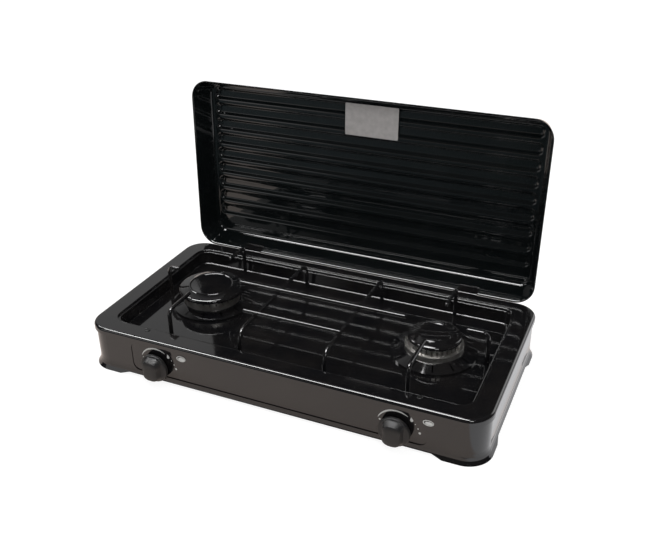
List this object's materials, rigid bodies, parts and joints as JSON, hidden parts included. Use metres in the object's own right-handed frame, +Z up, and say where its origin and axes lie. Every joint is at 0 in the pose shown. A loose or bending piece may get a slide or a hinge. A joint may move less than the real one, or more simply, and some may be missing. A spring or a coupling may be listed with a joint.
{
  "type": "two burner gas table stove",
  "caption": "Table stove for bottled gas with a hinged lid that opens as a splash guard, a wire pan support, drop-in burners, and push-and-turn taps on one gas rail.",
  "frame": {"origin": "on the table, under the middle of the box around the stove with its lid open", "axes": "+X to the right along the width, +Y to the back towards the lid, +Z up"},
  "size_m": [0.5044, 0.3186, 0.2934],
  "materials": {
    "enamel_black": "gloss",
    "wire_black": "gloss",
    "crown_metal": "satin",
    "throat_metal": "cast",
    "knob_plastic": "gloss",
    "brass_parts": "satin",
    "steel_parts": "satin",
    "buffer_rubber": "matte"
  },
  "bodies": {
    "hob": {"hob_body": "enamel_black", "support_long_wire_rear": "wire_black", "support_long_wire_front": "wire_black", "support_nuts": "steel_parts", "throat_screws": "steel_parts", "gas_rail": "steel_parts", "rail_clamps": "steel_parts", "rail_clamp_screws": "steel_parts", "rail_brackets": "steel_parts", "rail_bracket_rivets": "steel_parts", "inlet_block": "brass_parts", "hose_nozzle": "brass_parts", "lid_buffers": "buffer_rubber", "hinge_pins": "steel_parts", "hinge_rivets_body": "steel_parts", "support_cross_wire_left": "wire_black", "support_prongs_left": "wire_black", "burner_skirt_left": "enamel_black", "mixing_tube_left": "throat_metal", "injector_left": "brass_parts", "tap_body_left": "brass_parts", "tap_bonnet_left": "brass_parts", "tap_spring_left": "steel_parts", "hinge_leaf_body_left": "steel_parts", "support_cross_wire_right": "wire_black", "support_prongs_right": "wire_black", "burner_skirt_right": "enamel_black", "mixing_tube_right": "throat_metal", "injector_right": "brass_parts", "tap_body_right": "brass_parts", "tap_bonnet_right": "brass_parts", "tap_spring_right": "steel_parts", "hinge_leaf_body_right": "steel_parts"},
    "lid": {"lid": "enamel_black", "hinge_rivets_lid": "steel_parts", "hinge_leaf_lid_left": "steel_parts", "hinge_leaf_lid_right": "steel_parts"},
    "burner_crown_left": {"burner_crown_left": "crown_metal"},
    "burner_cap_left": {"burner_cap_left": "enamel_black"},
    "tap_plug_left": {"tap_plug_left": "brass_parts"},
    "knob_left": {"knob_left": "knob_plastic", "tap_spindle_left": "brass_parts"},
    "burner_crown_right": {"burner_crown_right": "crown_metal"},
    "burner_cap_right": {"burner_cap_right": "enamel_black"},
    "tap_plug_right": {"tap_plug_right": "brass_parts"},
    "knob_right": {"knob_right": "knob_plastic", "tap_spindle_right": "brass_parts"}
  },
  "joints": [
    {"name": "lid_hinge", "type": "hinge", "parent": "hob", "child": "lid", "pos_m": [0, 0.11055, 0.0568], "axis": [1, 0, 0], "range_deg": [0, 92]},
    {"name": "crown_lift_left", "type": "slide", "parent": "hob", "child": "burner_crown_left", "axis": [0, 0, 1], "range_m": [0, 0.007]},
    {"name": "cap_lift_left", "type": "slide", "parent": "burner_crown_left", "child": "burner_cap_left", "axis": [0, 0, 1], "range_m": [0, 0.012]},
    {"name": "tap_turn_left", "type": "hinge", "parent": "hob", "child": "tap_plug_left", "pos_m": [-0.151, -0.11665, 0.0228], "axis": [0, -1, 0], "range_deg": [0, 200]},
    {"name": "knob_push_left", "type": "slide", "parent": "tap_plug_left", "child": "knob_left", "axis": [0, 1, 0], "range_m": [0, 0.002], "stiffness_N_per_m": 1500, "springref_m": -0.003, "deforming": ["tap_spring_left"]},
    {"name": "crown_lift_right", "type": "slide", "parent": "hob", "child": "burner_crown_right", "axis": [0, 0, 1], "range_m": [0, 0.007]},
    {"name": "cap_lift_right", "type": "slide", "parent": "burner_crown_right", "child": "burner_cap_right", "axis": [0, 0, 1], "range_m": [0, 0.012]},
    {"name": "tap_turn_right", "type": "hinge", "parent": "hob", "child": "tap_plug_right", "pos_m": [0.151, -0.11665, 0.0228], "axis": [0, -1, 0], "range_deg": [0, 200]},
    {"name": "knob_push_right", "type": "slide", "parent": "tap_plug_right", "child": "knob_right", "axis": [0, 1, 0], "range_m": [0, 0.002], "stiffness_N_per_m": 1500, "springref_m": -0.003, "deforming": ["tap_spring_right"]}
  ]
}
